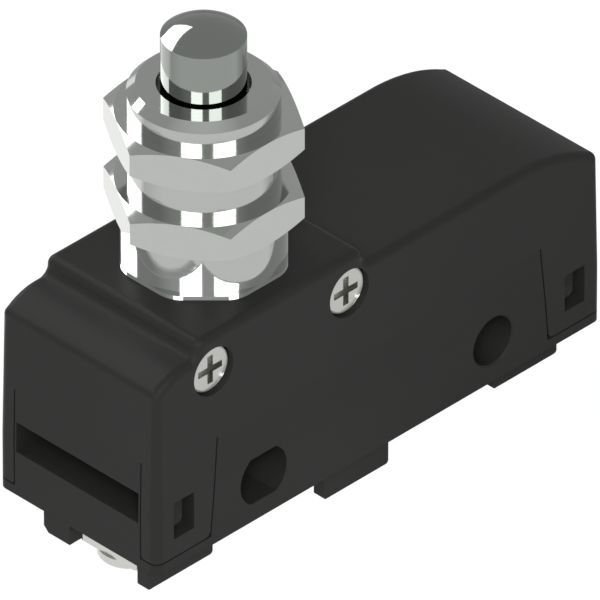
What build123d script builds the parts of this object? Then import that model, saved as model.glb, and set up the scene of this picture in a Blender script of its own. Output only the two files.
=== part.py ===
from build123d import *
from math import cos, radians, sqrt, tan
import os

# Basic snap-action switch with a threaded panel-mount plunger, in millimetres.
# X runs along the body, Y across it, Z up. The origin is the bottom centre of the body's box.

# Body envelope
body_length = 49.2
body_width = 17.5
body_bottom = 3.12
corner_radius = 0.8
draft_start = 8.2
draft_angle = 1.17
parting_height = 13.05
roof_height = 21.15
plateau_rise = 1.55
top_edge_radius = 0.7
cover_wall = 1.6

# Barrel station and top profile
barrel_from_end = 13.95
plateau_half = 9.1
plateau_foot_radius = 0.75
plateau_lip_radius = 0.75
left_shoulder_gap = 1.15
left_shoulder_radius = 5.3
right_shoulder_from_end = 8.6
right_shoulder_radius = 16.0

# Mounting holes
mount_height = 6.92
mount_from_end = 12.04
mount_spacing = 25.43
mount_hole_radius = 2.135
oval_hole_radius = 2.525
oval_hole_flats = 4.25
mount_rim_chamfer = 0.15

# Snap tongues of the cover
tongue_top_from_end = 6.7
tongue_foot_from_end = 5.85
tongue_bottom = 4.1
tongue_thickness = 1.4
tongue_lip_inner_y = 7.05
tongue_lip_depth = 1.2
tongue_corner_radius = 0.6
tongue_lip_corner_radius = 0.25
slit = 0.14
seat_gap = 0.05
window_from_end = 3.0
window_width = 2.2
window_bottom = 5.77
window_top = 9.17
nib_inset = 0.3
nib_recess = 1.0
nib_corner_radius = 0.5

# End grooves
groove_bottom = 7.27
groove_height = 2.8
groove_depth = 2.8
groove_half_width = 6.75

# Terminal stations, from the common end to the closed end
station_names = ["common", "open", "closed"]
station_from_end = [3.7, 23.07, 41.82]
station_tab_bottom = [1.17, 0.0, 1.17]
station_screw_shift = [-0.8, 0.0, 0.0]
riser_shift = [2.4, 2.43, 2.23]
tab_length = 7.15
near_tab_outer_y = -7.6
near_tab_thickness = 1.1
far_tab_inner_y = 1.0
far_tab_thickness = 2.85
tab_chamfer = 0.5
tab_corner_radius = 0.3
tab_root = 0.5
terminal_y = -2.75
terminal_plate = 1.0
terminal_plate_top = 3.75
terminal_plate_length = 6.1
terminal_plate_width = 7.0
riser_thickness = 0.8
riser_width = 5.0
terminal_gap = 0.05

# Terminal screws and clamp washers
screw_radius = 1.5
screw_head_radius = 2.5
screw_head_height = 0.9
screw_head_edge = 0.4
screw_slot = 1.0
screw_slot_depth = 0.5
screw_tip_chamfer = 0.4
screw_tip_room = 0.2
screw_tip_height = 6.6
washer_thickness = 0.85
washer_length = 4.6
washer_width = 6.4
washer_corner_radius = 0.5
washer_hole_gap = 0.15

# Switch chamber and mechanism
chamber_floor = 10.4
chamber_half_width = 5.9
chamber_end_wall = 3.2
cover_chamber_half_width = 7.05
cover_chamber_end_wall = 2.0
strip_thickness = 0.8
strip_half_width = 2.5
blade_thickness = 0.25
blade_bottom = 13.6
blade_half_width = 3.5
blade_pivot_to_barrel = 5.65
blade_tail = 3.3
contact_from_end = 10.1
contact_radius = 1.4
contact_height = 0.7
contact_shank_radius = 0.8
contact_overhang = 1.9
contact_edge = 0.15
contact_nose = 0.5
open_gap = 0.9
closed_gap = 0.02
bow_half_width = 1.3
bow_slot_half_width = 1.75
bow_start_to_barrel = 17.65
bow_end_to_barrel = 5.45
bow_rise = 1.4
bow_root = 0.6
notch_post_gap = 0.3
rivet_radius = 0.8
rivet_head_radius = 1.5
rivet_head_height = 0.6
rivet_head_edge = 0.25
rivet_play = 0.15
rivet_lift = 0.1
rivet_to_barrel = 7.35
post_height = 0.6
hole_play = 0.02
anchor_inset = 0.5
chamber_strip_gap = 0.3
blade_taper_start = 2.0

# Barrel, nuts and plunger
barrel_radius = 6.025
barrel_top = 38.73
barrel_chamfer = 0.7
collar_radius = 6.515
collar_top = 26.8
foot_height = 0.35
foot_corner_radius = 2.6
spigot_radius = 4.9
barrel_bore_radius = 4.0
barrel_mouth_radius = 3.725
barrel_mouth_length = 2.2
barrel_floor = 1.2
block_bottom = 17.25
block_height = 3.95
block_half_width = 5.9
block_end_lap = 0.3
nut_across_flats = 14.0
nut_thickness = 3.1
nut_chamfer_height = 0.585
lower_nut_bottom = 26.83
upper_nut_bottom = 33.29
nut_clearance = 0.04
plunger_radius = 3.375
plunger_rim = 43.23
plunger_dome_radius = 5.5
plunger_flange_height = 3.4
plunger_pin_radius = 2.4
plunger_pin_length = 2.5
running_clearance = 0.05
button_stem_radius = 2.0
button_head_height = 1.5
button_head_lift = 0.65
button_blade_gap = 0.1
spring_wire = 0.8
spring_radius = 3.3
spring_turns = 6.0

# Clamp screws across the cover
clamp_spacing = 14.87
clamp_height = 19.32
clamp_radius = 1.5
clamp_head_radius = 2.05
clamp_head_height = 1.3
clamp_recess_radius = 2.135
clamp_recess = 0.4
clamp_tip_y = 7.2
clamp_cross_width = 0.6
clamp_cross_length = 2.6
clamp_cross_depth = 0.8
clamp_head_edge = 0.25
clamp_wall_gap = 1.3
block_corner_radius = 0.5
flange_gap = 0.1
button_edge = 0.5
spring_end_gap = 0.02
chamber_step = 0.15
join_lap = 0.1

# Values worked out from the ones above
half_length = body_length / 2
half_width = body_width / 2
plateau_height = roof_height + plateau_rise
barrel_x = barrel_from_end - half_length
left_shoulder_x = barrel_x - plateau_half - left_shoulder_gap
right_shoulder_x = half_length - right_shoulder_from_end
mount_right_x = half_length - mount_from_end
mount_left_x = mount_right_x - mount_spacing
tongue_top_x = half_length - tongue_top_from_end
tongue_foot_x = half_length - tongue_foot_from_end
window_x = half_length - window_from_end
station_x = [distance - half_length for distance in station_from_end]
station_screw_x = [x + shift for x, shift in zip(station_x, station_screw_shift)]
riser_places = [x + shift for x, shift in zip(station_x, riser_shift)]
blade_pivot_x = barrel_x - blade_pivot_to_barrel
rivet_x = barrel_x - rivet_to_barrel
bow_start_x = barrel_x + bow_start_to_barrel
bow_end_x = barrel_x + bow_end_to_barrel
contact_x = half_length - contact_from_end
reach = 2 * body_length
taper_slope = tan(radians(draft_angle))
face_at_clamp = half_width - (clamp_height - draft_start) * taper_slope
plunger_flange_top = barrel_top - barrel_mouth_length - flange_gap
plunger_flange_bottom = plunger_flange_top - plunger_flange_height
button_head_bottom = block_bottom + barrel_floor + button_head_lift
button_head_top = button_head_bottom + button_head_height
blade_top = blade_bottom + blade_thickness
moving_contact_bottom = blade_bottom - contact_height
moving_contact_top = blade_top + contact_height
open_contact_top = moving_contact_bottom - open_gap
closed_contact_bottom = moving_contact_top + closed_gap
strip_top = chamber_floor + strip_thickness
chamber_end = half_length - chamber_end_wall
nut_corner_radius = nut_across_flats / 2 / cos(radians(30))

closed_strip_bottom = closed_contact_bottom + contact_height
riser_tops = [chamber_floor + strip_thickness, strip_top, closed_strip_bottom + strip_thickness]
notch_post_x = bow_end_x - notch_post_gap

os.makedirs("parts", exist_ok=True)


def write(piece, label):
    piece.part.label = label
    export_step(piece.part, f"parts/{label}.step")


# Outer form shared by base and cover: a drafted block under the long side profile
with BuildPart() as envelope:
    with BuildSketch(Plane.XY.offset(body_bottom)):
        RectangleRounded(body_length, body_width, corner_radius)
    extrude(amount=draft_start - body_bottom)
    with BuildSketch(Plane.XY.offset(draft_start)):
        RectangleRounded(body_length, body_width, corner_radius)
    extrude(amount=plateau_height + 2 - draft_start, taper=draft_angle)
    with BuildSketch(Plane.XZ) as side_profile:
        with BuildLine():
            left_arc = CenterArc(
                (left_shoulder_x, roof_height - left_shoulder_radius),
                left_shoulder_radius,
                90,
                50,
            )
            right_arc = CenterArc(
                (right_shoulder_x, roof_height - right_shoulder_radius),
                right_shoulder_radius,
                90,
                -40,
            )
            Polyline(
                left_arc @ 1,
                (-body_length, (left_arc @ 1).Y),
                (-body_length, 0),
                (body_length, 0),
                (body_length, (right_arc @ 1).Y),
                right_arc @ 1,
            )
            Polyline(
                left_arc @ 0,
                (barrel_x - plateau_half, roof_height),
                (barrel_x - plateau_half, plateau_height),
                (barrel_x + plateau_half, plateau_height),
                (barrel_x + plateau_half, roof_height),
                right_arc @ 0,
            )
        make_face()
        steps = side_profile.vertices().filter_by(
            lambda v: abs(abs(v.X - barrel_x) - plateau_half) < 0.01
        )
        fillet(steps.group_by(Axis.Y)[0], plateau_foot_radius)
        steps = side_profile.vertices().filter_by(
            lambda v: abs(v.Y - plateau_height) < 0.01
        )
        fillet(steps, plateau_lip_radius)
    extrude(amount=body_width, both=True, mode=Mode.INTERSECT)
    rim = envelope.edges().filter_by(lambda e: e.center().Z > roof_height - 3)
    rim = rim.filter_by(
        lambda e: abs(e.center().Y) > half_width - 1 or abs(e.center().X) > half_length - 1
    )
    fillet(rim, top_edge_radius)


# Corner tongues of the cover, and the pockets of the base that take them
def corner_tongues(grow, depth_gap):
    edge_top = tongue_top_x - grow
    edge_foot = tongue_foot_x - grow
    foot = tongue_bottom - grow
    lean = (edge_foot - edge_top) / (parting_height - tongue_bottom)
    with BuildPart() as tongues:
        with BuildSketch(Plane.XZ.offset(-(half_width - tongue_thickness - depth_gap))):
            with BuildLine():
                Polyline(
                    (edge_top - lean, parting_height + 1),
                    (edge_foot, foot),
                    (body_length, foot),
                    (body_length, parting_height + 1),
                    close=True,
                )
            make_face()
        extrude(amount=-tongue_thickness * 2)
        lip_x = half_length - tongue_lip_depth - depth_gap
        lip_y = tongue_lip_inner_y - grow
        with BuildSketch(Plane.XY.offset(foot)):
            with Locations((lip_x, lip_y)):
                Rectangle(4, 4, align=(Align.MIN, Align.MIN))
        extrude(amount=parting_height + 1 - foot)
        if grow == 0:
            lower = tongues.edges().filter_by(Axis.Y).group_by(Axis.Z)[0].sort_by(Axis.X)[0]
            fillet(lower, tongue_corner_radius)
            lower = tongues.edges().filter_by(Axis.X).group_by(Axis.Z)[0].sort_by(Axis.Y)[0]
            fillet(lower, tongue_lip_corner_radius)
        mirror(about=Plane.YZ)
        mirror(about=Plane.XZ)
    return tongues.part


# Box given by its low and high corners, used for the chambers and pockets
def block(low, high, mode=Mode.SUBTRACT):
    size = [b - a for a, b in zip(low, high)]
    middle = [(a + b) / 2 for a, b in zip(low, high)]
    with Locations(tuple(middle)):
        return Box(*size, mode=mode)


# Cover: the upper shell with the roof, the barrel block's pocket and four corner tongues
pocket_half_length = clamp_spacing / 2 + block_end_lap + seat_gap
pocket_half_width = block_half_width + seat_gap
pocket_top = block_bottom + block_height + seat_gap
cover_chamber_top = block_bottom - chamber_step
cover_chamber_end = half_length - cover_chamber_end_wall
right_chamber_start = barrel_x + clamp_spacing / 2 + clamp_radius + clamp_wall_gap
right_chamber_roof = roof_height - cover_wall

with BuildPart() as cover:
    add(envelope.part)
    block((-reach, -reach, 0), (reach, reach, parting_height))
    with BuildPart(mode=Mode.PRIVATE) as tongue_stubs:
        add(corner_tongues(0, 0))
        add(envelope.part, mode=Mode.INTERSECT)
    add(tongue_stubs.part)
    block(
        (-cover_chamber_end, -cover_chamber_half_width, parting_height),
        (cover_chamber_end, cover_chamber_half_width, cover_chamber_top),
    )
    with BuildSketch(Plane.XZ) as right_chamber:
        with BuildLine():
            roof_arc = CenterArc(
                (right_shoulder_x, roof_height - right_shoulder_radius),
                right_shoulder_radius - cover_wall,
                90,
                -26,
            )
            Polyline(
                roof_arc @ 1,
                (cover_chamber_end, (roof_arc @ 1).Y),
                (cover_chamber_end, parting_height),
                (right_chamber_start, parting_height),
                (right_chamber_start, right_chamber_roof),
                roof_arc @ 0,
            )
        make_face()
    extrude(amount=cover_chamber_half_width, both=True, mode=Mode.SUBTRACT)
    block(
        (barrel_x - pocket_half_length, -pocket_half_width, cover_chamber_top),
        (barrel_x + pocket_half_length, pocket_half_width, pocket_top),
    )
    with BuildSketch(Plane.XY.offset(pocket_top)):
        with Locations((barrel_x, 0)):
            Circle(spigot_radius + running_clearance)
    extrude(amount=body_width, mode=Mode.SUBTRACT)
    for side in (-1, 1):
        clamp_x = barrel_x + side * clamp_spacing / 2
        with BuildSketch(Plane.XZ.offset(-clamp_tip_y - seat_gap)):
            with Locations((clamp_x, clamp_height)):
                Circle(clamp_radius + seat_gap)
        extrude(amount=reach, mode=Mode.SUBTRACT)
        with BuildSketch(Plane.XZ.offset(face_at_clamp - clamp_recess - clamp_head_height)):
            with Locations((clamp_x, clamp_height)):
                Circle(clamp_recess_radius)
        extrude(amount=reach, mode=Mode.SUBTRACT)
    for end in (-1, 1):
        window = (window_x - window_width / 2, window_x + window_width / 2)
        low_x = min(end * window[0], end * window[1])
        block((low_x, -reach, window_bottom), (low_x + window_width, reach, window_top))
write(cover, "cover")

# Base: the lower block with mounting holes, terminal stations, tongue pockets and chamber
with BuildPart() as base:
    add(envelope.part)
    block((-reach, -reach, parting_height), (reach, reach, reach))
    add(corner_tongues(slit, seat_gap), mode=Mode.SUBTRACT)
    for end in (-1, 1):
        nib_half = window_width / 2 - nib_inset
        nib_height = window_top - window_bottom - 2 * nib_inset
        for side in (-1, 1):
            inner = half_width - tongue_thickness - 1
            outer = half_width - nib_recess
            low_y = min(side * inner, side * outer)
            with BuildSketch(Plane.XZ.offset(-low_y)):
                with Locations((end * window_x, (window_bottom + window_top) / 2)):
                    RectangleRounded(2 * nib_half, nib_height, nib_corner_radius)
            extrude(amount=inner - outer)
    for x, tab_bottom in zip(station_x, station_tab_bottom):
        low_x = x - tab_length / 2
        tab_height = body_bottom + tab_root - tab_bottom
        with BuildSketch(Plane.XZ.offset(-near_tab_outer_y)) as near_tab:
            with Locations((x, tab_bottom + tab_height / 2)):
                Rectangle(tab_length, tab_height)
            fillet(near_tab.vertices().group_by(Axis.Y)[0], tab_corner_radius)
        extrude(amount=-near_tab_thickness)
        with BuildSketch(Plane.YZ.offset(low_x)):
            with BuildLine():
                far_y = far_tab_inner_y + far_tab_thickness
                Polyline(
                    (far_tab_inner_y, body_bottom + tab_root),
                    (far_tab_inner_y, tab_bottom),
                    (far_y - tab_chamfer, tab_bottom),
                    (far_y, tab_bottom + tab_chamfer),
                    (far_y, body_bottom + tab_root),
                    close=True,
                )
            make_face()
        extrude(amount=tab_length)
    block(
        (-chamber_end, -chamber_half_width, chamber_floor),
        (chamber_end, chamber_half_width, reach),
    )
    for end in (-1, 1):
        face = end * half_length
        low_x = min(face, face - end * groove_depth)
        block(
            (low_x - 0.5 * (end < 0), -groove_half_width, groove_bottom),
            (low_x + groove_depth + 0.5 * (end > 0), groove_half_width, groove_bottom + groove_height),
        )
    with BuildSketch(Plane.XZ):
        with Locations((mount_right_x, mount_height)):
            Circle(mount_hole_radius)
    extrude(amount=body_width, both=True, mode=Mode.SUBTRACT)
    with BuildSketch(Plane.XZ):
        with Locations((mount_left_x, mount_height)):
            Circle(oval_hole_radius)
            Rectangle(2 * reach, oval_hole_flats, mode=Mode.INTERSECT)
    extrude(amount=body_width, both=True, mode=Mode.SUBTRACT)
    for x, screw_x in zip(station_x, station_screw_x):
        half = terminal_plate_length / 2 + terminal_gap
        half_y = terminal_plate_width / 2 + terminal_gap
        block(
            (x - half, terminal_y - half_y, 0),
            (x + half, terminal_y + half_y, terminal_plate_top + terminal_gap),
        )
        with BuildSketch(Plane.XY):
            with Locations((screw_x, terminal_y)):
                Circle(screw_radius + 2 * terminal_gap)
        extrude(amount=screw_tip_height + screw_tip_room, mode=Mode.SUBTRACT)
    for riser_x in riser_places:
        block(
            (
                riser_x - terminal_gap,
                terminal_y - riser_width / 2 - terminal_gap,
                terminal_plate_top - join_lap,
            ),
            (
                riser_x + riser_thickness + terminal_gap,
                terminal_y + riser_width / 2 + terminal_gap,
                chamber_floor + strip_thickness,
            ),
        )
    rims = base.edges().filter_by(GeomType.CIRCLE)
    rims = rims.filter_by(
        lambda e: abs(abs(e.center().Y) - half_width) < 0.01
        and abs(e.radius - mount_hole_radius) < 0.01
    )
    chamfer(rims, mount_rim_chamfer)
write(base, "base")

# Terminals: a screw plate under the base, a riser through it and a strip on the chamber floor
def terminal(index, strips, name):
    x = station_x[index]
    plate_half = terminal_plate_length / 2
    plate_half_y = terminal_plate_width / 2
    with BuildPart() as piece:
        block(
            (x - plate_half, terminal_y - plate_half_y, terminal_plate_top - terminal_plate),
            (x + plate_half, terminal_y + plate_half_y, terminal_plate_top),
            mode=Mode.ADD,
        )
        riser_x = riser_places[index]
        block(
            (riser_x, terminal_y - riser_width / 2, terminal_plate_top),
            (riser_x + riser_thickness, terminal_y + riser_width / 2, riser_tops[index]),
            mode=Mode.ADD,
        )
        for low, high in strips:
            block(low, high, mode=Mode.ADD)
        with Locations((station_screw_x[index], terminal_y, terminal_plate_top)):
            Hole(screw_radius + hole_play, terminal_plate + join_lap)
    write(piece, name)
    return piece


common_end_x = -chamber_end + chamber_strip_gap
common_strip = [
    (
        (common_end_x, -strip_half_width, chamber_floor),
        (notch_post_x, strip_half_width, strip_top),
    ),
    (
        (notch_post_x - strip_thickness, -bow_half_width, strip_top - join_lap),
        (notch_post_x, bow_half_width, blade_top + post_height),
    ),
]
open_strip = [
    (
        (riser_places[1], -strip_half_width, chamber_floor),
        (contact_x + contact_overhang, strip_half_width, strip_top),
    )
]
closed_strip = [
    (
        (contact_x - contact_overhang, -strip_half_width, riser_tops[2] - strip_thickness),
        (riser_places[2] + riser_thickness, strip_half_width, riser_tops[2]),
    )
]
common_terminal = terminal(0, common_strip, "common_terminal")
open_terminal = terminal(1, open_strip, "normally_open_terminal")
closed_terminal = terminal(2, closed_strip, "normally_closed_terminal")

# Fixed contacts, riveted on the two strips
with BuildPart() as open_contact:
    with BuildSketch(Plane.XY.offset(strip_top)):
        with Locations((contact_x, 0)):
            Circle(contact_radius)
    extrude(amount=open_contact_top - strip_top)
    fillet(open_contact.edges().filter_by(GeomType.CIRCLE).sort_by(Axis.Z)[-1], contact_edge)
write(open_contact, "open_contact")

with BuildPart() as closed_contact:
    with BuildSketch(Plane.XY.offset(closed_contact_bottom)):
        with Locations((contact_x, 0)):
            Circle(contact_radius)
    extrude(amount=riser_tops[2] - strip_thickness - closed_contact_bottom)
    fillet(closed_contact.edges().filter_by(GeomType.CIRCLE).sort_by(Axis.Z)[0], contact_edge)
write(closed_contact, "closed_contact")

# Snap blade: a slotted spring strip with a bowed tongue, riveted at the common end
with BuildPart() as snap_blade:
    with BuildSketch(Plane.XY.offset(blade_bottom)):
        with BuildLine():
            blade_left = blade_pivot_x - blade_tail
            blade_right = contact_x + contact_overhang
            nose = contact_radius + contact_nose
            Polyline(
                (blade_left, -blade_half_width),
                (bow_start_x + blade_taper_start, -blade_half_width),
                (contact_x - nose, -nose),
                (blade_right, -nose),
                (blade_right, nose),
                (contact_x - nose, nose),
                (bow_start_x + blade_taper_start, blade_half_width),
                (blade_left, blade_half_width),
                close=True,
            )
        make_face()
        slot_end = notch_post_x - strip_thickness - notch_post_gap
        with Locations(((bow_start_x + slot_end) / 2, 0)):
            Rectangle(bow_start_x - slot_end, 2 * bow_slot_half_width, mode=Mode.SUBTRACT)
        with Locations((contact_x, 0)):
            Circle(contact_shank_radius + hole_play, mode=Mode.SUBTRACT)
        with Locations((rivet_x, 0)):
            Circle(rivet_radius + rivet_play, mode=Mode.SUBTRACT)
    extrude(amount=blade_thickness)
    with BuildSketch(Plane.XZ):
        with BuildLine():
            under = ThreePointArc(
                (bow_end_x, blade_bottom),
                ((bow_start_x + bow_end_x) / 2, blade_bottom + bow_rise),
                (bow_start_x + bow_root, blade_bottom),
            )
            over = ThreePointArc(
                (bow_start_x + bow_root, blade_top),
                ((bow_start_x + bow_end_x) / 2, blade_top + bow_rise),
                (bow_end_x, blade_top),
            )
            Line(under @ 1, over @ 0)
            Line(over @ 1, under @ 0)
        make_face()
    extrude(amount=bow_half_width, both=True)
write(snap_blade, "snap_blade")

# Moving contact: a double-headed rivet through the free end of the blade
with BuildPart() as moving_contact:
    with BuildSketch(Plane.XZ):
        with BuildLine():
            Polyline(
                (contact_x, moving_contact_bottom),
                (contact_x + contact_radius, moving_contact_bottom),
                (contact_x + contact_radius, blade_bottom),
                (contact_x + contact_shank_radius, blade_bottom),
                (contact_x + contact_shank_radius, blade_top),
                (contact_x + contact_radius, blade_top),
                (contact_x + contact_radius, moving_contact_top),
                (contact_x, moving_contact_top),
                close=True,
            )
        make_face()
    revolve(axis=Axis((contact_x, 0, 0), (0, 0, 1)))
    heads = moving_contact.edges().filter_by(GeomType.CIRCLE)
    fillet([heads.sort_by(Axis.Z)[0], heads.sort_by(Axis.Z)[-1]], contact_edge)
write(moving_contact, "moving_contact")

# Anchor block and rivet that hold the blade's tail on the common strip
anchor_top = blade_bottom - seat_gap
with BuildPart() as anchor_block:
    block(
        (blade_pivot_x - blade_tail, -blade_half_width + anchor_inset, strip_top),
        (blade_pivot_x, blade_half_width - anchor_inset, anchor_top),
        mode=Mode.ADD,
    )
    with Locations((rivet_x, 0, anchor_top)):
        Hole(rivet_radius + hole_play, anchor_top - strip_top)
write(anchor_block, "anchor_block")

with BuildPart() as blade_rivet:
    with BuildSketch(Plane.XY.offset(strip_top)):
        with Locations((rivet_x, 0)):
            Circle(rivet_radius)
    extrude(amount=blade_top + rivet_lift - strip_top)
    with BuildSketch(Plane.XY.offset(blade_top + rivet_lift)):
        with Locations((rivet_x, 0)):
            Circle(rivet_head_radius)
    extrude(amount=rivet_head_height)
    fillet(blade_rivet.edges().filter_by(GeomType.CIRCLE).sort_by(Axis.Z)[-1], rivet_head_edge)
write(blade_rivet, "blade_rivet")

# Terminal screws, head down, with a square clamp washer under each head
for index, name in enumerate(station_names):
    head_top = terminal_plate_top - terminal_plate - washer_thickness
    screw_x = station_screw_x[index]
    with BuildPart() as terminal_screw:
        with BuildSketch(Plane.XY.offset(head_top - screw_head_height)):
            with Locations((screw_x, terminal_y)):
                Circle(screw_head_radius)
        extrude(amount=screw_head_height)
        fillet(terminal_screw.edges().sort_by(Axis.Z)[0], screw_head_edge)
        with BuildSketch(Plane.XY.offset(head_top)):
            with Locations((screw_x, terminal_y)):
                Circle(screw_radius)
        extrude(amount=screw_tip_height - head_top)
        chamfer(terminal_screw.edges().filter_by(GeomType.CIRCLE).sort_by(Axis.Z)[-1], screw_tip_chamfer)
        head_bottom = head_top - screw_head_height
        with Locations(Location((screw_x, terminal_y, head_bottom), (0, 0, 45))):
            Box(
                screw_slot,
                3 * screw_head_radius,
                2 * screw_slot_depth,
                mode=Mode.SUBTRACT,
            )
    write(terminal_screw, f"terminal_screw_{name}")
    with BuildPart() as clamp_washer:
        with BuildSketch(Plane.XY.offset(head_top)):
            with Locations((screw_x, terminal_y)):
                RectangleRounded(washer_length, washer_width, washer_corner_radius)
                Circle(screw_radius + washer_hole_gap, mode=Mode.SUBTRACT)
        extrude(amount=washer_thickness)
    write(clamp_washer, f"clamp_washer_{name}")

# Threaded barrel with its collar, octagonal foot and inner spigot
with BuildPart() as threaded_barrel:
    with BuildSketch(Plane.XZ):
        with BuildLine():
            Polyline(
                (barrel_x, block_bottom),
                (barrel_x + spigot_radius, block_bottom),
                (barrel_x + spigot_radius, plateau_height),
                (barrel_x + collar_radius, plateau_height),
                (barrel_x + collar_radius, collar_top),
                (barrel_x + barrel_radius, collar_top),
                (barrel_x + barrel_radius, barrel_top - barrel_chamfer),
                (barrel_x + barrel_radius - barrel_chamfer, barrel_top),
                (barrel_x, barrel_top),
                close=True,
            )
        make_face()
    revolve(axis=Axis((barrel_x, 0, 0), (0, 0, 1)))
    with BuildSketch(Plane.XY.offset(plateau_height)) as foot:
        with Locations((barrel_x, 0)):
            RegularPolygon(collar_radius, 8, major_radius=False, rotation=22.5)
        fillet(foot.vertices(), foot_corner_radius)
    extrude(amount=foot_height)
    bore_floor = block_bottom + barrel_floor
    with BuildSketch(Plane.XY.offset(bore_floor)):
        with Locations((barrel_x, 0)):
            Circle(barrel_bore_radius)
    extrude(amount=barrel_top - barrel_mouth_length - bore_floor, mode=Mode.SUBTRACT)
    with BuildSketch(Plane.XY.offset(block_bottom)):
        with Locations((barrel_x, 0)):
            Circle(button_stem_radius + running_clearance)
    extrude(amount=barrel_floor, mode=Mode.SUBTRACT)
    with BuildSketch(Plane.XY.offset(barrel_top)):
        with Locations((barrel_x, 0)):
            Circle(barrel_mouth_radius)
    extrude(amount=-barrel_mouth_length, mode=Mode.SUBTRACT)
write(threaded_barrel, "threaded_barrel")

# Barrel block: the slab inside the cover that the spigot seats in and the clamp screws lock
with BuildPart() as barrel_block:
    with BuildSketch(Plane.XY.offset(block_bottom)):
        with Locations((barrel_x, 0)):
            RectangleRounded(
                clamp_spacing + 2 * block_end_lap,
                2 * block_half_width,
                block_corner_radius,
            )
            Circle(spigot_radius + hole_play, mode=Mode.SUBTRACT)
    extrude(amount=block_height)
    for side in (-1, 1):
        with BuildSketch(Plane.XZ):
            with Locations((barrel_x + side * clamp_spacing / 2, clamp_height)):
                Circle(clamp_radius + seat_gap)
        extrude(amount=body_width, both=True, mode=Mode.SUBTRACT)
write(barrel_block, "barrel_block")

# Clamp screws with cross recess, from the front side into the far wall
for side, label in ((-1, "clamp_screw_left"), (1, "clamp_screw_right")):
    clamp_x = barrel_x + side * clamp_spacing / 2
    head_face = face_at_clamp - clamp_recess
    with BuildPart() as clamp_screw:
        with BuildSketch(Plane.XZ.offset(head_face - clamp_head_height)):
            with Locations((clamp_x, clamp_height)):
                Circle(clamp_head_radius)
        extrude(amount=clamp_head_height)
        fillet(clamp_screw.edges().sort_by(Axis.Y)[0], clamp_head_edge)
        with BuildSketch(Plane.XZ.offset(head_face - clamp_head_height)):
            with Locations((clamp_x, clamp_height)):
                Circle(clamp_radius)
        extrude(amount=-(head_face - clamp_head_height + clamp_tip_y))
        with BuildSketch(Plane.XZ.offset(head_face)):
            with Locations((clamp_x, clamp_height)):
                Rectangle(clamp_cross_length, clamp_cross_width, rotation=45)
                Rectangle(clamp_cross_length, clamp_cross_width, rotation=-45)
        extrude(amount=-clamp_cross_depth, mode=Mode.SUBTRACT)
    write(clamp_screw, label)

# Hexagon nuts on the barrel, chamfered on both faces
for bottom, label in ((lower_nut_bottom, "lower_nut"), (upper_nut_bottom, "upper_nut")):
    with BuildPart() as nut:
        with BuildSketch(Plane.XY.offset(bottom)):
            with Locations((barrel_x, 0)):
                RegularPolygon(nut_corner_radius, 6)
                Circle(barrel_radius + nut_clearance, mode=Mode.SUBTRACT)
        extrude(amount=nut_thickness)
        with BuildSketch(Plane.XZ):
            with BuildLine():
                flat_radius = nut_across_flats / 2
                Polyline(
                    (barrel_x, bottom),
                    (barrel_x + flat_radius, bottom),
                    (barrel_x + nut_corner_radius, bottom + nut_chamfer_height),
                    (barrel_x + nut_corner_radius, bottom + nut_thickness - nut_chamfer_height),
                    (barrel_x + flat_radius, bottom + nut_thickness),
                    (barrel_x, bottom + nut_thickness),
                    close=True,
                )
            make_face()
        revolve(axis=Axis((barrel_x, 0, 0), (0, 0, 1)), mode=Mode.INTERSECT)
    write(nut, label)

# Plunger: domed pin with a guiding flange and a spring pilot
with BuildPart() as plunger:
    with BuildSketch(Plane.XZ):
        with BuildLine():
            rise = plunger_dome_radius - sqrt(plunger_dome_radius**2 - plunger_radius**2)
            pilot_bottom = plunger_flange_bottom - plunger_pin_length
            dome = ThreePointArc(
                (barrel_x + plunger_radius, plunger_rim),
                (
                    barrel_x + plunger_radius / 2,
                    plunger_rim
                    + rise
                    - plunger_dome_radius
                    + sqrt(plunger_dome_radius**2 - plunger_radius**2 / 4),
                ),
                (barrel_x, plunger_rim + rise),
            )
            Polyline(
                dome @ 1,
                (barrel_x, pilot_bottom),
                (barrel_x + plunger_pin_radius, pilot_bottom),
                (barrel_x + plunger_pin_radius, plunger_flange_bottom),
                (barrel_x + barrel_bore_radius - running_clearance, plunger_flange_bottom),
                (barrel_x + barrel_bore_radius - running_clearance, plunger_flange_top),
                (barrel_x + plunger_radius, plunger_flange_top),
                dome @ 0,
            )
        make_face()
    revolve(axis=Axis((barrel_x, 0, 0), (0, 0, 1)))
write(plunger, "plunger")

# Actuating button: guided in the barrel, its stem presses the blade
with BuildPart() as actuating_button:
    with BuildSketch(Plane.XY.offset(button_head_bottom)):
        with Locations((barrel_x, 0)):
            Circle(barrel_bore_radius - running_clearance)
    extrude(amount=button_head_height)
    with BuildSketch(Plane.XY.offset(blade_top + button_blade_gap)):
        with Locations((barrel_x, 0)):
            Circle(button_stem_radius)
    extrude(amount=button_head_bottom - blade_top - button_blade_gap)
    fillet(actuating_button.edges().sort_by(Axis.Z)[0], button_edge)
write(actuating_button, "actuating_button")

# Overtravel spring between the plunger's flange and the button
spring_length = plunger_flange_bottom - button_head_top - spring_wire - 2 * spring_end_gap
with BuildPart() as overtravel_spring:
    with BuildLine():
        coil = Helix(
            spring_length / spring_turns,
            spring_length,
            spring_radius,
            center=(barrel_x, 0, button_head_top + spring_wire / 2 + spring_end_gap),
        )
    with BuildSketch(Plane(origin=coil @ 0, z_dir=coil % 0)):
        Circle(spring_wire / 2)
    sweep(is_frenet=True)
write(overtravel_spring, "overtravel_spring")
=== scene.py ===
# %% [markdown]
# # A micro switch with a threaded plunger barrel
# The switch is already modelled in its real size, piece by piece. This lesson gives
# every piece its finish and photographs the whole on a white table, from above one corner.
# We load the model first. The looks may not grow it.

# %% Load the switch
import math

import bpy
from mathutils import Matrix, Vector


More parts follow.
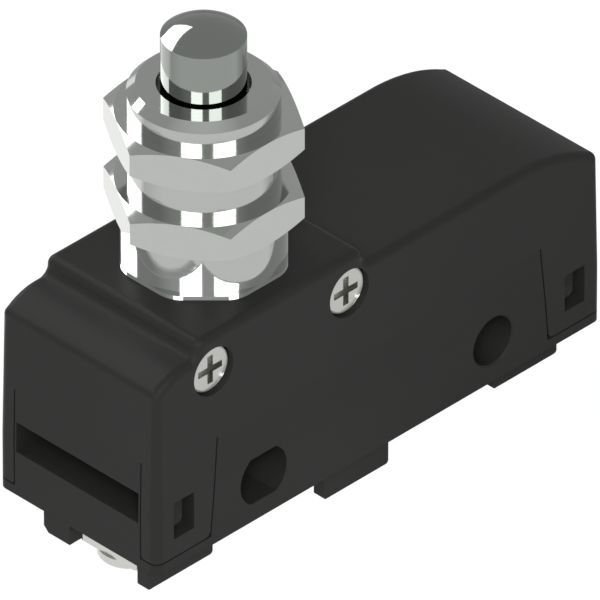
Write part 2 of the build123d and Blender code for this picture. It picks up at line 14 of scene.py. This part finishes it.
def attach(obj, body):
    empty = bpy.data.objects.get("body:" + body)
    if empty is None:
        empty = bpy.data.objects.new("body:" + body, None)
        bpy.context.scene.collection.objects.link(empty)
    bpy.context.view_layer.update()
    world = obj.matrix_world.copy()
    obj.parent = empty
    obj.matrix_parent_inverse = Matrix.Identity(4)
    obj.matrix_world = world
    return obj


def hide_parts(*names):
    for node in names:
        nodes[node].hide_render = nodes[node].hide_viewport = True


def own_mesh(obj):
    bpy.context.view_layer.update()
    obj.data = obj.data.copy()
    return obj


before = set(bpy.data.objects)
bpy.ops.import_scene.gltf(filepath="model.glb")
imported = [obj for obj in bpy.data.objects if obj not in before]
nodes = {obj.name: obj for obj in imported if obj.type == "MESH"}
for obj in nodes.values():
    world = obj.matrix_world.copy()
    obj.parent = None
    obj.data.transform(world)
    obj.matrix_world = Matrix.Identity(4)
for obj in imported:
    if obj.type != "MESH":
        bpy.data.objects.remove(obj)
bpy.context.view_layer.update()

# %% [markdown]
# ## The camera
# The picture is a parallel view: lines that are parallel on the switch stay parallel in it.
# A very long lens far away gives nearly that, and unlike a parallel camera it still frames
# the switch when somebody looks at it from another side. The camera stands over the front
# left corner, as high above the table as the corner of a cube seen along its diagonal.

# %% Camera
MM = 0.001
lens_mm = 1600.0
sensor_mm = 36.0
view_width = 46.84 * MM
look_at = Vector((-0.062, 0.062, 12.8)) * MM
toward_camera = Vector((-1.0, -1.0, 1.0)).normalized()

camera_data = bpy.data.cameras.new("camera")
camera_data.lens = lens_mm
camera_data.sensor_width = sensor_mm
camera_data.clip_start = 0.1
camera_data.clip_end = 10.0
camera = bpy.data.objects.new("camera", camera_data)
camera.location = look_at + toward_camera * (view_width * lens_mm / sensor_mm)
camera.rotation_mode = "QUATERNION"
camera.rotation_quaternion = (-toward_camera).to_track_quat("-Z", "Y")
bpy.context.scene.collection.objects.link(camera)
bpy.context.scene.camera = camera
print("camera stands", round((camera.location - look_at).length, 3), "m away")

# %% [markdown]
# ## Helpers for node trees
# A socket takes either another node's output or a plain value, and one helper handles both.
# With it a sum, a product or a mix of shaders is one line. The names of the sums are those
# of the Math and Vector Math nodes.


# %% Sums and mixes
def feed(tree, socket, value):
    if isinstance(value, bpy.types.NodeSocket):
        tree.links.new(value, socket)
    else:
        socket.default_value = value


def calculate(tree, kind, operation, *values):
    node = tree.nodes.new(kind)
    node.operation = operation
    for socket, value in zip(node.inputs, values):
        feed(tree, socket, value)
    return node


def math_of(tree, operation, *values):
    return calculate(tree, "ShaderNodeMath", operation, *values).outputs["Value"]


def mix_shaders(tree, factor, first, second):
    mix = tree.nodes.new("ShaderNodeMixShader")
    for socket, value in zip(mix.inputs, (factor, first, second)):
        feed(tree, socket, value)
    return mix.outputs["Shader"]


print("ready: feed, calculate, math_of, mix_shaders")

# %% [markdown]
# ## Helpers for materials
# Every finish starts as one Principled shader. The helper makes it, sets its plain values
# on the shader's own sockets, and returns the parts that later cells wire up.


# %% A fresh material
def new_material(name, color, roughness, metallic=0.0):
    material = bpy.data.materials.new(name)
    material.use_nodes = True
    shader = material.node_tree.nodes["Principled BSDF"]
    shader.inputs["Base Color"].default_value = (*color, 1.0)
    shader.inputs["Roughness"].default_value = roughness
    shader.inputs["Metallic"].default_value = metallic
    return material, shader


def place_group(material, group, **values):
    node = material.node_tree.nodes.new("ShaderNodeGroup")
    node.node_tree = group
    for socket, value in values.items():
        node.inputs[socket.replace("_", " ")].default_value = value
    return node


def wire(material, source, output, target, socket):
    material.node_tree.links.new(source.outputs[output], target.inputs[socket])


print("ready: new_material, place_group, wire")

# %% [markdown]
# ## Sockets of a group
# Both effects below give a colour, a roughness and a height. They differ in what they take.


# %% A new group with its sockets
def new_group(name, numbers, colors):
    group = bpy.data.node_groups.new(name, "ShaderNodeTree")
    face = group.interface
    for title, value in numbers:
        socket = face.new_socket(title, in_out="INPUT", socket_type="NodeSocketFloat")
        socket.default_value = value
    for title in colors:
        face.new_socket(title, in_out="INPUT", socket_type="NodeSocketColor")
    face.new_socket("Color", in_out="OUTPUT", socket_type="NodeSocketColor")
    face.new_socket("Roughness", in_out="OUTPUT", socket_type="NodeSocketFloat")
    face.new_socket("Height", in_out="OUTPUT", socket_type="NodeSocketFloat")
    inlet = group.nodes.new("NodeGroupInput")
    outlet = group.nodes.new("NodeGroupOutput")
    return group, inlet.outputs, outlet.inputs


def noise(group, detail, vector, scale):
    node = group.nodes.new("ShaderNodeTexNoise")
    node.inputs["Detail"].default_value = detail
    feed(group, node.inputs["Vector"], vector)
    feed(group, node.inputs["Scale"], scale)
    return node.outputs["Fac"]


noise_mean = 0.5
print("ready: new_group, noise")

# %% [markdown]
# ## Moulded grain
# A black plastic moulding is never quite even: the tool leaves a very fine grain, and the
# gloss drifts a little over a face. One node group makes both from two noises, so that the
# cover, the base and the button can each use it with their own strength.


# %% Group: moulded grain
def make_grain_group():
    numbers = (
        ("Grain Scale", 2500.0),
        ("Drift Scale", 90.0),
        ("Roughness", 0.4),
        ("Roughness Drift", 0.06),
    )
    group, given, made = new_group("moulded grain", numbers, ("Dark Color", "Light Color"))
    place = group.nodes.new("ShaderNodeTexCoord").outputs["Object"]
    grain = noise(group, 4.0, place, given["Grain Scale"])
    drift = noise(group, 3.0, place, given["Drift Scale"])
    mix = group.nodes.new("ShaderNodeMix")
    mix.data_type = "RGBA"
    feed(group, mix.inputs["Factor"], drift)
    feed(group, mix.inputs["A"], given["Dark Color"])
    feed(group, mix.inputs["B"], given["Light Color"])
    feed(group, made["Color"], mix.outputs["Result"])
    centred = math_of(group, "SUBTRACT", drift, noise_mean)
    swing = math_of(group, "MULTIPLY_ADD", centred, given["Roughness Drift"], given["Roughness"])
    feed(group, made["Roughness"], swing)
    feed(group, made["Height"], grain)
    return group


moulded_grain = make_grain_group()
print("group:", moulded_grain.name, "with", len(moulded_grain.nodes), "nodes")

# %% [markdown]
# ## Tool marks
# Turned metal keeps fine rings from the cutting tool, round the axis of the lathe. A noise
# that is stretched flat, so that it changes quickly with height and hardly at all round the
# piece, gives such rings. Stamped parts get the same noise with less stretch.


# %% Group: tool marks
def make_marks_group():
    numbers = (
        ("Across", 60.0),
        ("Along", 6000.0),
        ("Roughness", 0.2),
        ("Roughness Swing", 0.1),
        ("Shade Swing", 0.06),
    )
    group, given, made = new_group("tool marks", numbers, ("Metal Color",))
    place = group.nodes.new("ShaderNodeTexCoord").outputs["Object"]
    stretch = group.nodes.new("ShaderNodeCombineXYZ")
    for axis, source in (("X", "Across"), ("Y", "Across"), ("Z", "Along")):
        feed(group, stretch.inputs[axis], given[source])
    scaled = calculate(group, "ShaderNodeVectorMath", "MULTIPLY", place, stretch.outputs["Vector"])
    rings = noise(group, 3.0, scaled.outputs["Vector"], 1.0)
    centred = math_of(group, "SUBTRACT", rings, noise_mean)
    swing = math_of(group, "MULTIPLY_ADD", centred, given["Roughness Swing"], given["Roughness"])
    shade = math_of(group, "MULTIPLY_ADD", centred, given["Shade Swing"], 1.0)
    tinted = calculate(group, "ShaderNodeVectorMath", "SCALE", given["Metal Color"])
    feed(group, tinted.inputs["Scale"], shade)
    feed(group, made["Color"], tinted.outputs["Vector"])
    feed(group, made["Roughness"], swing)
    feed(group, made["Height"], rings)
    return group


tool_marks = make_marks_group()
print("group:", tool_marks.name, "with", len(tool_marks.nodes), "nodes")

# %% [markdown]
# ## From group to finish
# Two small makers turn the groups into finishes: one for mouldings and one for metals. The
# height goes through a Bump node whose distance is the real depth of the texture. The cover
# lies right under the polished barrel, so it also gets a painted reflection: a grey gloss that
# only mirrors see in place of its black.


# %% Makers of finishes
grain_depth = 0.02 * MM
mark_depth = 0.01 * MM


def add_effect(material, shader, effect, strength, depth):
    wire(material, effect, "Color", shader, "Base Color")
    wire(material, effect, "Roughness", shader, "Roughness")
    bump = material.node_tree.nodes.new("ShaderNodeBump")
    bump.inputs["Strength"].default_value = strength
    bump.inputs["Distance"].default_value = depth
    wire(material, effect, "Height", bump, "Height")
    wire(material, bump, "Normal", shader, "Normal")


def moulding(name, dark, light, roughness, strength=0.25, shine=0.1):
    material, shader = new_material(name, dark, roughness)
    shader.inputs["Specular IOR Level"].default_value = shine
    effect = place_group(
        material,
        moulded_grain,
        Dark_Color=(*dark, 1),
        Light_Color=(*light, 1),
        Roughness=roughness,
    )
    add_effect(material, shader, effect, strength, grain_depth)
    return material


def metal(name, color, roughness, along=6000.0, across=60.0, swing=0.08, strength=0.08):
    material, shader = new_material(name, color, roughness, metallic=1.0)
    effect = place_group(
        material,
        tool_marks,
        Metal_Color=(*color, 1),
        Roughness=roughness,
        Roughness_Swing=swing,
        Along=along,
        Across=across,
    )
    add_effect(material, shader, effect, strength, mark_depth)
    return material


def painted_reflection_for_metal(material, painted_reflection_grey, roughness):
    """Painted reflection: glossy rays see the cover as a grey gloss instead of its black plastic.
    """
    tree = material.node_tree
    painted_gloss = tree.nodes.new("ShaderNodeBsdfAnisotropic")
    painted_gloss.inputs["Color"].default_value = (painted_reflection_grey, painted_reflection_grey, painted_reflection_grey, 1.0)
    painted_gloss.inputs["Roughness"].default_value = roughness
    seen_in_metal = tree.nodes.new("ShaderNodeLightPath").outputs["Is Glossy Ray"]
    plain = tree.nodes["Principled BSDF"].outputs["BSDF"]
    mixed = mix_shaders(tree, seen_in_metal, plain, painted_gloss.outputs["BSDF"])
    feed(tree, tree.nodes["Material Output"].inputs["Surface"], mixed)


print("ready: moulding, metal, painted_reflection_for_metal")

# %% [markdown]
# ## The finishes
# Black satin plastic for the housing and a red button inside it. Bright plated steel for
# barrel, nuts and screws, a polished plunger, and copper alloy, brass and silver for what
# carries the current.

# %% Finishes of this switch
cover_dark, cover_light = (0.0125, 0.0125, 0.012), (0.0155, 0.0155, 0.015)
base_dark, base_light = (0.012, 0.012, 0.0115), (0.015, 0.015, 0.0145)
button_dark, button_light = (0.45, 0.07, 0.03), (0.5, 0.09, 0.04)

black_cover = moulding("black cover moulding", cover_dark, cover_light, 0.42)
black_base = moulding("black base moulding", base_dark, base_light, 0.44)
button_red = moulding("button moulding", button_dark, button_light, 0.4)
# painted reflection: the polished metal sees the cover as a grey gloss, not as black plastic
painted_reflection_for_metal(black_cover, painted_reflection_grey=0.66, roughness=0.06)

plated_barrel = metal("plated barrel", (0.44, 0.455, 0.44), 0.07)
plated_nut = metal("plated nut", (0.465, 0.48, 0.46), 0.1, 900.0, 900.0)
polished_plunger = metal("polished plunger", (0.265, 0.28, 0.265), 0.06)
plated_block = metal("plated block", (0.4, 0.4, 0.39), 0.3, 800.0, 800.0)
spring_wire = metal("drawn spring wire", (0.35, 0.35, 0.35), 0.25)
blade_copper = metal("rolled copper alloy", (0.72, 0.42, 0.22), 0.25, 200.0, 1500.0)
terminal_brass = metal("stamped brass", (0.68, 0.5, 0.22), 0.28, 900.0, 900.0)
contact_silver = metal("contact silver", (0.75, 0.74, 0.7), 0.22)
zinc_screw = metal("zinc plated screw", (0.6, 0.6, 0.58), 0.22, 1200.0, 1200.0)
clamp_plating = metal("clamp screw plating", (0.5, 0.505, 0.48), 0.25, 1200.0, 1200.0)
print("finishes:", len(bpy.data.materials))

# %% [markdown]
# Each finish now goes on its pieces. What shares a finish shares one material.

# %% Which piece wears what
pieces_of = (
    (black_cover, ("cover",)),
    (black_base, ("base",)),
    (plated_barrel, ("threaded_barrel",)),
    (plated_block, ("barrel_block",)),
    (plated_nut, ("lower_nut", "upper_nut")),
    (polished_plunger, ("plunger",)),
    (button_red, ("actuating_button",)),
    (spring_wire, ("overtravel_spring",)),
    (blade_copper, ("snap_blade",)),
    (contact_silver, ("moving_contact", "open_contact", "closed_contact")),
    (terminal_brass, ("common_terminal", "normally_open_terminal", "normally_closed_terminal")),
    (terminal_brass, ("anchor_block", "blade_rivet")),
    (clamp_plating, ("clamp_screw_left", "clamp_screw_right")),
    (zinc_screw, ("terminal_screw_common", "terminal_screw_open", "terminal_screw_closed")),
    (zinc_screw, ("clamp_washer_common", "clamp_washer_open", "clamp_washer_closed")),
)
finish_of = {name: finish for finish, names in pieces_of for name in names}
for name, piece in nodes.items():
    piece.data.materials.clear()
    piece.data.materials.append(finish_of[name])
print("finished pieces:", len(finish_of))

# %% [markdown]
# ## Last touches on the fasteners
# A screw stops wherever it is tight. On this switch both clamp screws stopped with their
# cross upright, an eighth of a turn on from the model. And a nut on its thread shows no gap,
# because the crests reach into each other, so the bore's rim closes on the barrel. Each of
# these pieces is a new one in the place of the model's own, on the same body.


# %% A new piece in the place of a modelled one
def remake(node_name, piece_name, body="housing"):
    source = nodes[node_name]
    piece = bpy.data.objects.new(piece_name, source.data.copy())
    piece.matrix_world = source.matrix_world.copy()
    bpy.context.scene.collection.objects.link(piece)
    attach(piece, body)
    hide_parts(node_name)
    return piece


def middle_of(piece):
    corners = [vertex.co for vertex in piece.data.vertices]
    spans = ([corner[axis] for corner in corners] for axis in range(3))
    return Vector([(min(span) + max(span)) / 2 for span in spans])


print("ready: remake, middle_of")

# %% [markdown]
# The clamp screws lie along Y, so each turns about the line through its middle along Y.


# %% Turn the clamp screws
def turn_about_own_axis(piece, degrees):
    middle = middle_of(piece)
    turn = Matrix.Rotation(math.radians(degrees), 4, "Y")
    piece.data.transform(Matrix.Translation(middle) @ turn @ Matrix.Translation(-middle))


eighth_turn = 45.0
for side in ("left", "right"):
    screw = remake("clamp_screw_" + side, side + "_turned_screw")
    turn_about_own_axis(screw, eighth_turn)
    print("turned:", screw.name)

# %% [markdown]
# The corners of a nut that lie on its bore move in until they all but touch the barrel.


# %% Close the nuts on the barrel
def close_bore(piece, open_radius, closed_radius):
    middle = middle_of(piece)
    moved = 0
    for vertex in piece.data.vertices:
        out = (vertex.co - middle).xy
        if out.length < open_radius:
            vertex.co.xy = middle.xy + out * (closed_radius / out.length)
            moved += 1
    return moved


beyond_bore_radius = 6.2 * MM
closed_bore_radius = 6.03 * MM
for level in ("lower", "upper"):
    nut = remake(level + "_nut", level + "_seated_nut")
    moved = close_bore(nut, beyond_bore_radius, closed_bore_radius)
    print(nut.name, "bore corners moved:", moved)

# %% [markdown]
# ## The spring on the plunger
# When the plunger goes in, its flange squeezes the coil spring against the button, and the
# button itself gives way a little. The spring rides on the plunger, so here it becomes a new
# piece on the plunger's body, with a mesh of its own.

# %% The spring rides with the plunger
spring = remake("overtravel_spring", "squeezed_spring", body="plunger")
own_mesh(spring)

# %% [markdown]
# ## The studio's directions
# Polished metal shows the room around it, so the room gets a grey for each direction. A
# direction is a turn from the camera, in degrees, seen from above the barrel. Positive turns
# go to the camera's right. The greys are tones of the white table as metal sees it.

# %% Directions and tones
camera_angle = math.radians(225.0)
paper_white = 1.07
brightest_tone = 2.0
first_turn = -180
studio_tones = [
    (first_turn, 0.3),
    (-158, 0.5),
    (-152, 1.36),
    (-104, 1.36),
    (-94, 0.8),
    (-60, 1.03),
    (92, 1.03),
    (112, 0.62),
    (180, 0.3),
]


def level_direction(angle):
    return Vector((math.cos(angle), math.sin(angle), 0.0))


def map_range(tree, value, low, high, to_low=0.0, to_high=1.0):
    node = tree.nodes.new("ShaderNodeMapRange")
    feed(tree, node.inputs["Value"], value)
    titles = ("From Min", "From Max", "To Min", "To Max")
    for title, limit in zip(titles, (low, high, to_low, to_high)):
        node.inputs[title].default_value = limit
    return node.outputs["Result"]


print("directions with a tone:", len(studio_tones))

# %% [markdown]
# The turn of a point on the table comes from its distances along and across the camera's
# direction. A colour ramp then runs once round the circle and holds the tones.


# %% A grey for each direction
def sector_tones(tree):
    place = tree.nodes.new("ShaderNodeNewGeometry").outputs["Position"]
    middle = middle_of(nodes["threaded_barrel"])
    from_barrel = calculate(tree, "ShaderNodeVectorMath", "SUBTRACT", place, middle)
    offsets = []
    for angle in (camera_angle, camera_angle + math.pi / 2):
        along = calculate(
            tree,
            "ShaderNodeVectorMath",
            "DOT_PRODUCT",
            from_barrel.outputs["Vector"],
            level_direction(angle),
        )
        offsets.append(along.outputs["Value"])
    turn = math_of(tree, "ARCTAN2", offsets[1], offsets[0])
    ramp = tree.nodes.new("ShaderNodeValToRGB")
    feed(tree, ramp.inputs["Fac"], map_range(tree, turn, -math.pi, math.pi))
    stops = ramp.color_ramp.elements
    while len(stops) > 1:
        stops.remove(stops[-1])
    stops[0].position = 0.0
    for degrees, tone in studio_tones:
        stop = stops[0] if degrees == first_turn else stops.new(degrees / 360.0 + 0.5)
        stop.color = (tone / brightest_tone,) * 3 + (1.0,)
    return ramp.outputs["Color"]


print("ready: sector_tones")

# %% [markdown]
# ## The table
# The camera sees a table that is plain white, metal sees it in the studio's tones, and what
# it throws back on the plastic is the light of an ordinary pale board. A glow does the first
# two, and it shows to those rays alone.


# %% Table
def make_plane(name, size, location):
    half = size / 2
    mesh = bpy.data.meshes.new(name)
    corners = [(-half, -half, 0), (half, -half, 0), (half, half, 0), (-half, half, 0)]
    mesh.from_pydata(corners, [], [(0, 1, 2, 3)])
    plane = bpy.data.objects.new(name, mesh)
    plane.location = location
    bpy.context.scene.collection.objects.link(plane)
    return plane


def seen_as_white(material, shader, share):
    tree = material.node_tree
    path = tree.nodes.new("ShaderNodeLightPath").outputs
    glow = tree.nodes.new("ShaderNodeEmission")
    glow.inputs["Color"].default_value = (1.0, 1.0, 1.0, 1.0)
    tones = sector_tones(tree)
    past_white = math_of(tree, "MULTIPLY_ADD", tones, brightest_tone, -paper_white)
    strength = math_of(tree, "MULTIPLY_ADD", path["Is Glossy Ray"], past_white, paper_white)
    feed(tree, glow.inputs["Strength"], strength)
    either = math_of(tree, "MAXIMUM", path["Is Camera Ray"], path["Is Glossy Ray"])
    part = math_of(tree, "MULTIPLY", either, share)
    mixed = mix_shaders(tree, part, shader.outputs["BSDF"], glow.outputs["Emission"])
    feed(tree, tree.nodes["Material Output"].inputs["Surface"], mixed)


table_size = 6.0
table_drop = 0.02 * MM
table = make_plane("table", table_size, (0, 0, -table_drop))
table_finish, table_shader = new_material("white table", (0.6, 0.6, 0.6), 0.9)
seen_as_white(table_finish, table_shader, share=0.9)
table.data.materials.append(table_finish)
print("table:", table_size, "m wide")

# %% [markdown]
# ## The room
# The room is white to the camera and dimmer as a light for the plastic. Metal sees it bright
# behind the camera and dimmer beyond the switch.


# %% World
def room_wall(tree, strength):
    wall = tree.nodes.new("ShaderNodeBackground")
    wall.inputs["Color"].default_value = (1.0, 1.0, 1.0, 1.0)
    feed(tree, wall.inputs["Strength"], strength)
    return wall.outputs["Background"]


world = bpy.data.worlds.new("white room")
bpy.context.scene.world = world
world.use_nodes = True
tree = world.node_tree
direction = tree.nodes.new("ShaderNodeTexCoord").outputs["Generated"]
camera_side = calculate(
    tree, "ShaderNodeVectorMath", "DOT_PRODUCT", direction, level_direction(camera_angle)
)
room_tone = map_range(tree, camera_side.outputs["Value"], 0.3, 0.6, 0.53, 0.8)
path = tree.nodes.new("ShaderNodeLightPath").outputs
by_gloss = mix_shaders(
    tree, path["Is Glossy Ray"], room_wall(tree, 0.35), room_wall(tree, room_tone)
)
by_camera = mix_shaders(tree, path["Is Camera Ray"], by_gloss, room_wall(tree, 1.0))
feed(tree, tree.nodes["World Output"].inputs["Surface"], by_camera)
print("world:", world.name)

# %% [markdown]
# ## The lamps
# Three bright cards make the white squares on the barrel and the light edges of the nuts.
# Each fills a sector between two turns from the camera and two rises above the table. A soft
# fill from the camera's side reaches into grooves and holes, and no metal mirrors it.


# %% Lamps
def soft_lamp(name, location, width, height, power):
    data = bpy.data.lights.new(name, "AREA")
    data.shape = "RECTANGLE"
    data.size = width
    data.size_y = height
    data.energy = power
    lamp = bpy.data.objects.new(name, data)
    lamp.location = location
    lamp.rotation_mode = "QUATERNION"
    lamp.rotation_quaternion = (look_at - lamp.location).to_track_quat("-Z", "Y")
    bpy.context.scene.collection.objects.link(lamp)
    return lamp


def card(name, turns, rises, glow):
    turn, rise = (math.radians(sum(pair) / 2) for pair in (turns, rises))
    half_turn, half_rise = (math.radians((pair[1] - pair[0]) / 2) for pair in (turns, rises))
    away = level_direction(camera_angle + turn) * math.cos(rise)
    away.z = math.sin(rise)
    width = 2 * lamp_distance * math.cos(rise) * math.tan(half_turn)
    height = 2 * lamp_distance * math.tan(half_rise)
    power = glow * width * height * math.pi
    return soft_lamp(name, look_at + away * lamp_distance, width, height, power)


lamp_distance = 0.8
fill_size = 0.25
fill_power = 6.8
card("left card", (-33.0, -4.0), (29.0, 41.0), 6.8)
card("right card", (14.0, 47.0), (29.0, 41.0), 6.0)
card("rear card", (-158.0, -106.0), (20.0, 50.0), 4.5)
fill_place = look_at + toward_camera * lamp_distance
fill = soft_lamp("fill from the camera", fill_place, fill_size, fill_size, fill_power)
fill.visible_glossy = False

# %% [markdown]
# ## Last step
# The picture keeps colours as they are written, so the view transform is the standard one.

# %% Finish
bpy.context.scene.view_settings.view_transform = "Standard"
